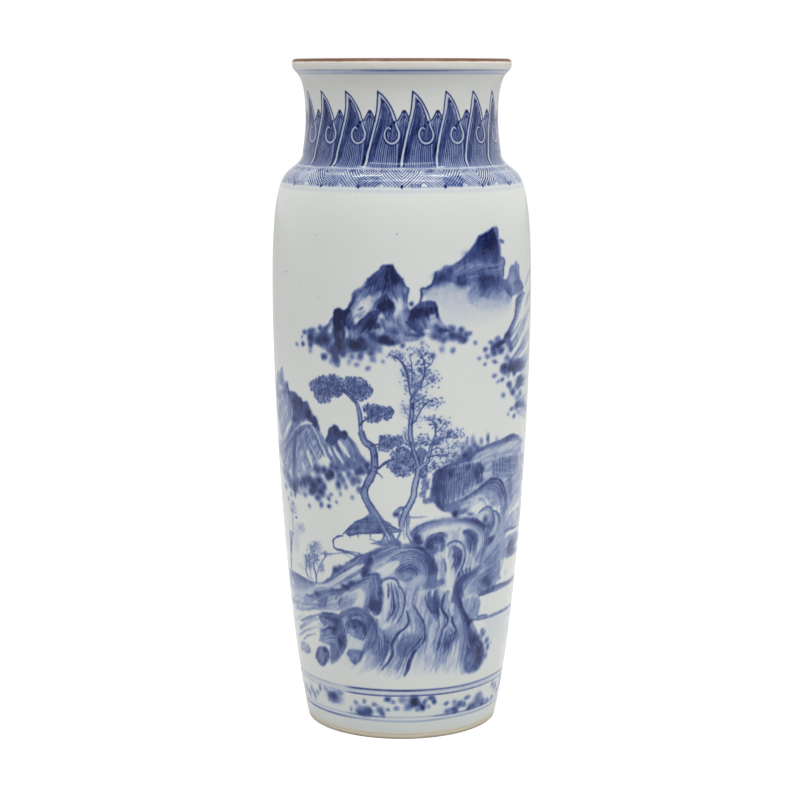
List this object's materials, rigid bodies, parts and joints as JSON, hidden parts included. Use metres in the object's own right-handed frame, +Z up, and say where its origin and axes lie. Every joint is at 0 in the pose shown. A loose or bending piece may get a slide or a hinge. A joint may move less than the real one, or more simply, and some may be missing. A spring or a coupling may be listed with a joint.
{
  "type": "sleeve vase",
  "caption": "Tall tapered porcelain sleeve vase with sloping shoulder, waisted neck and everted lip, luted from thrown sections, glazed inside and out, bare foot ring.",
  "frame": {"origin": "middle of the foot ring's standing face, on the surface the vase stands on", "axes": "+Z up the vase's axis to the mouth; -Y is the side with the two trees, which the picture shows; +X is to its right"},
  "size_m": [0.175, 0.175, 0.45],
  "materials": {
    "biscuit": "bare fired porcelain, matt, warm buff at the foot",
    "slip": "fired slip, matt",
    "glaze": "clear glossy glaze over white porcelain, painted in cobalt blue underglaze",
    "iron_brown": "iron-brown dressing, half gloss, thin and uneven"
  },
  "bodies": {
    "root": {"lower_body": "biscuit", "upper_body": "biscuit", "neck": "biscuit", "body_luting_slip": "slip", "neck_luting_slip": "slip", "outer_glaze": "glaze", "inner_glaze": "glaze", "base_glaze": "glaze", "rim_dressing": "iron_brown"}
  },
  "joints": []
}
